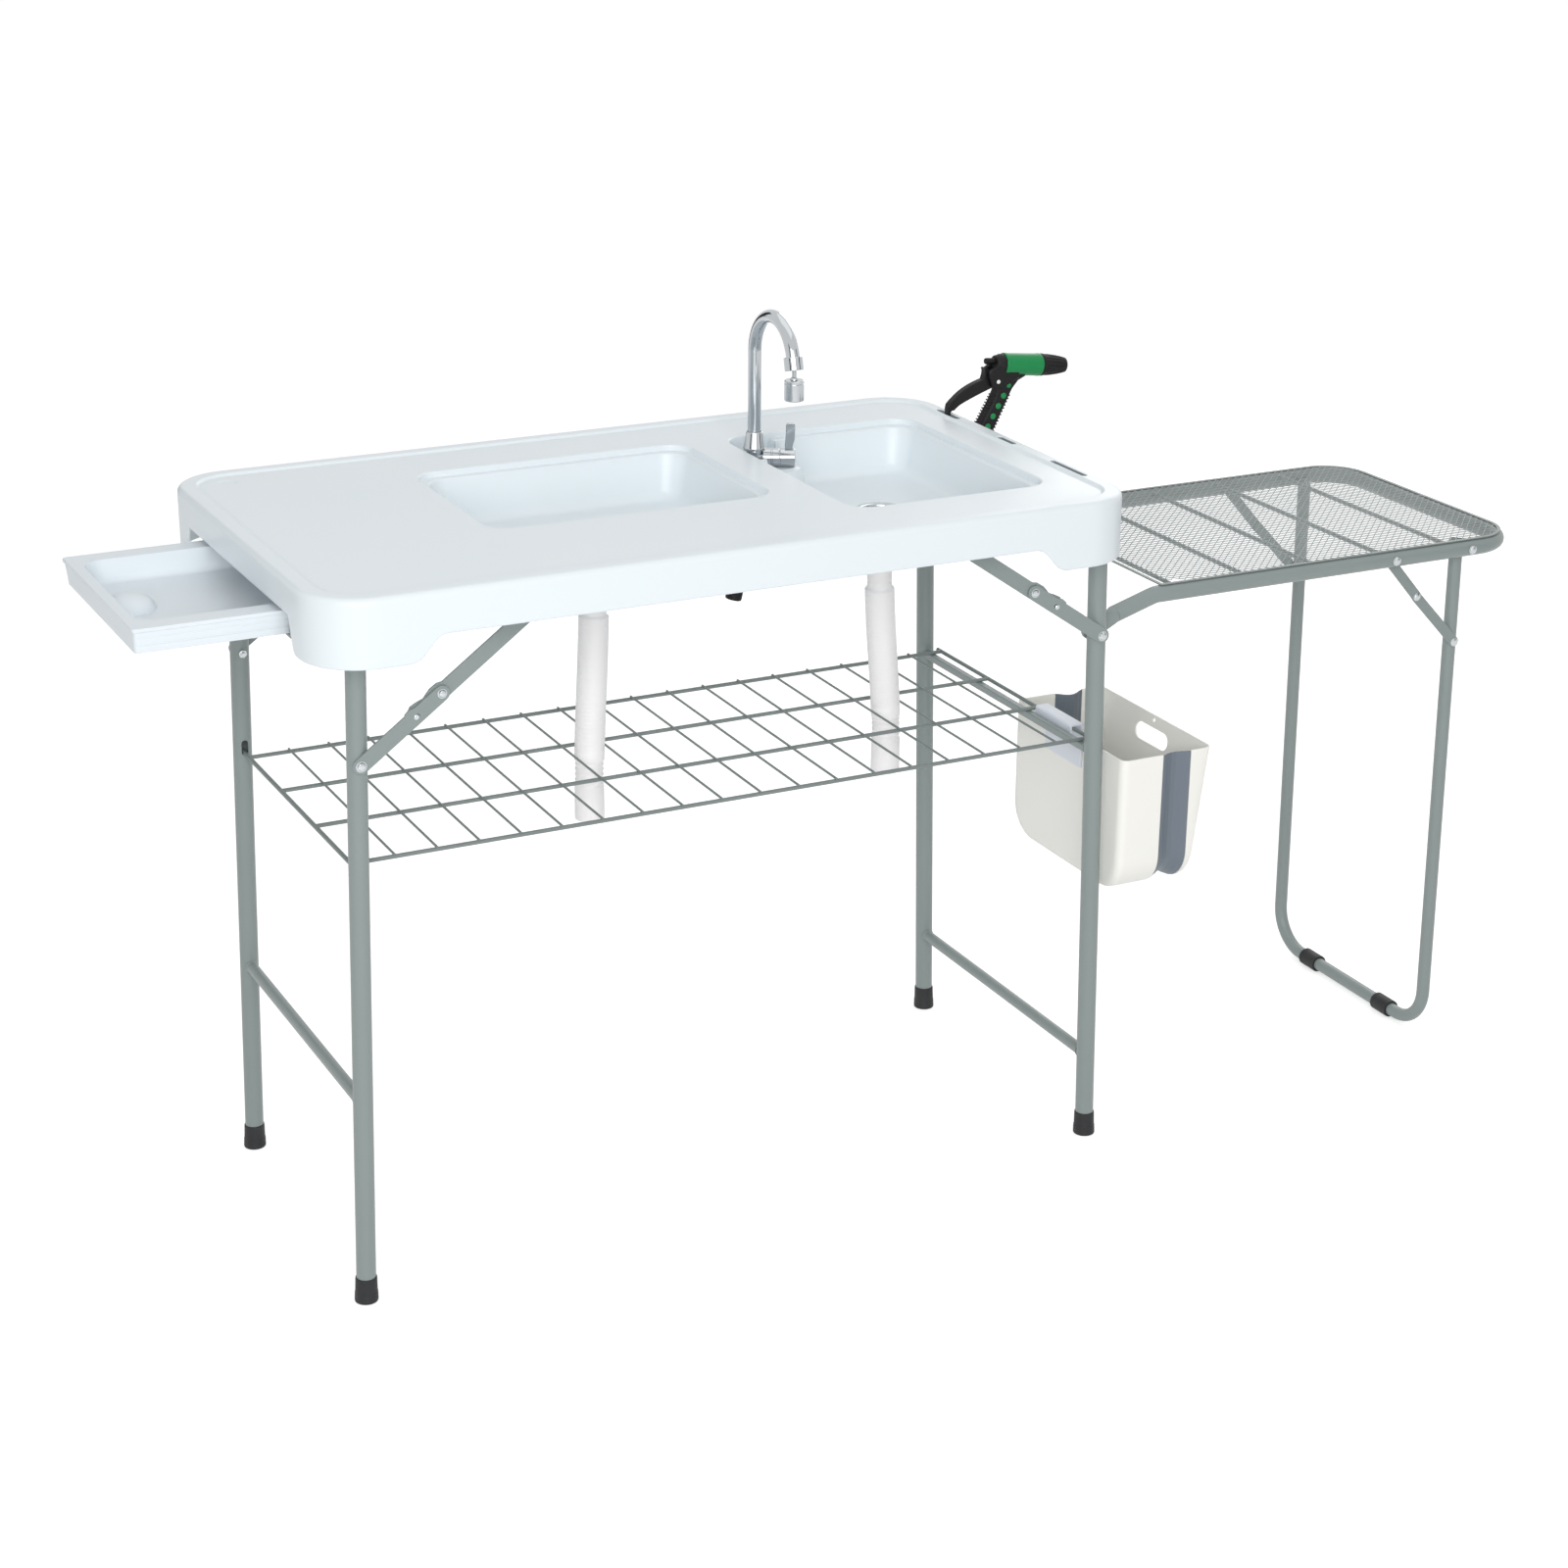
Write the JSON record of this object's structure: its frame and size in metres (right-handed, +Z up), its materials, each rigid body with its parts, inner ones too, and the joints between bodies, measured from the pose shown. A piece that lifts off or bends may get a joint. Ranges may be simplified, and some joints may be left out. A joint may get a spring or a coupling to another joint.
{
  "type": "fish cleaning table",
  "caption": "Folding camp table for cleaning fish: white moulded top with sinks, tap, spray nozzle, drawer, wire shelf, hanging bucket and fold-up mesh side table.",
  "frame": {"origin": "middle of the whole outline, on the floor", "axes": "+X along the table towards the side table, +Y to its back, where the tap stands, +Z up"},
  "size_m": [1.9765, 0.616, 1.136],
  "materials": {
    "white_plastic": "smooth white moulded plastic",
    "frame_paint": "grey-green powder coat",
    "wire_paint": "grey-green coated wire",
    "chrome": "polished",
    "black_rubber": "matt black",
    "black_plastic": "fine-grained black",
    "green_plastic": "satin green",
    "cream_plastic": "satin cream",
    "slate_rubber": "satin slate grey",
    "hose_plastic": "ribbed white"
  },
  "bodies": {
    "table": {"table_top": "white_plastic", "drawer_runner_front": "frame_paint", "drawer_runner_back": "frame_paint", "leg_left_front": "frame_paint", "foot_cap_left_front": "black_rubber", "brace_lower_left_front": "frame_paint", "brace_upper_left_front": "frame_paint", "leg_left_back": "frame_paint", "foot_cap_left_back": "black_rubber", "brace_lower_left_back": "frame_paint", "brace_upper_left_back": "frame_paint", "leg_right_front": "frame_paint", "foot_cap_right_front": "black_rubber", "brace_lower_right_front": "frame_paint", "brace_upper_right_front": "frame_paint", "leg_right_back": "frame_paint", "foot_cap_right_back": "black_rubber", "brace_lower_right_back": "frame_paint", "brace_upper_right_back": "frame_paint", "crossbar_left": "frame_paint", "crossbar_right": "frame_paint", "shelf_rail": "frame_paint", "drain_strainer_left": "chrome", "drain_nut_left": "white_plastic", "drain_hose_left": "hose_plastic", "drain_strainer_right": "chrome", "drain_nut_right": "white_plastic", "drain_hose_right": "hose_plastic", "tap_body": "chrome", "tap_nut": "chrome", "tap_lock_nut": "chrome", "tap_inlet": "black_plastic"},
    "drawer": {"drawer": "white_plastic"},
    "shelf": {"wire_shelf": "wire_paint"},
    "bucket": {"bucket_inner_shell": "cream_plastic", "bucket_gusset": "slate_rubber", "bucket_hook": "white_plastic"},
    "bucket_outer": {"bucket_outer_shell": "cream_plastic"},
    "spout": {"tap_spout": "chrome"},
    "aerator": {"tap_aerator": "chrome"},
    "tap_handle": {"tap_lever": "chrome"},
    "nozzle": {"nozzle_body": "black_plastic", "nozzle_sleeve": "green_plastic"},
    "trigger": {"nozzle_trigger": "black_plastic"},
    "nozzle_nose": {"nozzle_tip": "black_plastic"},
    "flow_knob": {"nozzle_knob": "black_plastic"},
    "side_table": {"side_frame": "frame_paint", "side_mesh": "wire_paint"},
    "side_leg": {"side_leg": "frame_paint", "side_leg_pad_front": "black_rubber", "side_leg_pad_back": "black_rubber"},
    "link_upper_front": {"side_link_upper_front": "frame_paint"},
    "link_lower_front": {"side_link_lower_front": "frame_paint"},
    "link_upper_back": {"side_link_upper_back": "frame_paint"},
    "link_lower_back": {"side_link_lower_back": "frame_paint"}
  },
  "joints": [
    {"name": "drawer_slide", "type": "slide", "parent": "table", "child": "drawer", "axis": [-1, 0, 0], "range_m": [-0.15, 0.03]},
    {"name": "shelf_tip_up", "type": "hinge", "parent": "table", "child": "shelf", "pos_m": [-0.75391, 0, 0.5786], "axis": [0, -1, 0], "range_deg": [0, 2.5]},
    {"name": "bucket_lift_off", "type": "slide", "parent": "shelf", "child": "bucket", "axis": [0, 0, 1], "range_m": [0, 0.05]},
    {"name": "bucket_fold_flat", "type": "slide", "parent": "bucket", "child": "bucket_outer", "axis": [-1, 0, 0], "range_m": [0, 0.04], "deforming": ["bucket_gusset"]},
    {"name": "spout_swivel", "type": "hinge", "parent": "table", "child": "spout", "pos_m": [-0.05825, 0.124, 1], "axis": [0, 0, 1], "range_deg": [-90, 90]},
    {"name": "aerator_tilt", "type": "hinge", "parent": "spout", "child": "aerator", "pos_m": [-0.05825, 0.00754, 1.05633], "axis": [1, 0, 0], "range_deg": [-15, 15]},
    {"name": "tap_lever_turn", "type": "hinge", "parent": "table", "child": "tap_handle", "pos_m": [-0.05825, 0.124, 0.925], "axis": [0.9063, -0.4226, 0], "range_deg": [0, 90]},
    {"name": "nozzle_lift_off", "type": "slide", "parent": "table", "child": "nozzle", "axis": [0, 0, 1], "range_m": [0, 0.08]},
    {"name": "trigger_squeeze", "type": "hinge", "parent": "nozzle", "child": "trigger", "pos_m": [0.34275, 0.172, 0.98], "axis": [0, -1, 0], "range_deg": [0, 3.5], "stiffness_Nm_per_rad": 0.6, "springref_deg": -17.19},
    {"name": "nozzle_nose_twist", "type": "hinge", "parent": "nozzle", "child": "nozzle_nose", "pos_m": [0.40859, 0.172, 0.99686], "axis": [0.9945, 0, -0.1045], "continuous": true},
    {"name": "flow_knob_turn", "type": "hinge", "parent": "nozzle", "child": "flow_knob", "pos_m": [0.33867, 0.172, 1.00821], "axis": [-0.9945, 0, 0.1045], "range_deg": [-90, 90]},
    {"name": "side_table_fold", "type": "hinge", "parent": "table", "child": "side_table", "pos_m": [0.26948, 0, 0.737], "axis": [0, -1, 0], "range_deg": [0, 30]},
    {"name": "side_leg_fold", "type": "hinge", "parent": "side_table", "child": "side_leg", "pos_m": [0.89475, 0, 0.769], "axis": [0, 1, 0], "range_deg": [0, 40]},
    {"name": "link_upper_front_swing", "type": "hinge", "parent": "side_table", "child": "link_upper_front", "pos_m": [0.76375, -0.1938, 0.769], "axis": [0, -1, 0], "range_deg": [0, 39]},
    {"name": "link_lower_front_swing", "type": "hinge", "parent": "side_leg", "child": "link_lower_front", "pos_m": [0.8975, -0.192, 0.6255], "axis": [0, 1, 0], "range_deg": [0, 30]},
    {"name": "link_upper_back_swing", "type": "hinge", "parent": "side_table", "child": "link_upper_back", "pos_m": [0.76375, 0.1938, 0.769], "axis": [0, -1, 0], "range_deg": [0, 39]},
    {"name": "link_lower_back_swing", "type": "hinge", "parent": "side_leg", "child": "link_lower_back", "pos_m": [0.8975, 0.192, 0.6255], "axis": [0, 1, 0], "range_deg": [0, 30]}
  ],
  "couplings": [
    {"joint": "link_upper_front_swing", "follows": "side_leg_fold", "ratio": 0.968},
    {"joint": "link_lower_front_swing", "follows": "side_leg_fold", "ratio": 0.737},
    {"joint": "link_upper_back_swing", "follows": "side_leg_fold", "ratio": 0.968},
    {"joint": "link_lower_back_swing", "follows": "side_leg_fold", "ratio": 0.737}
  ]
}
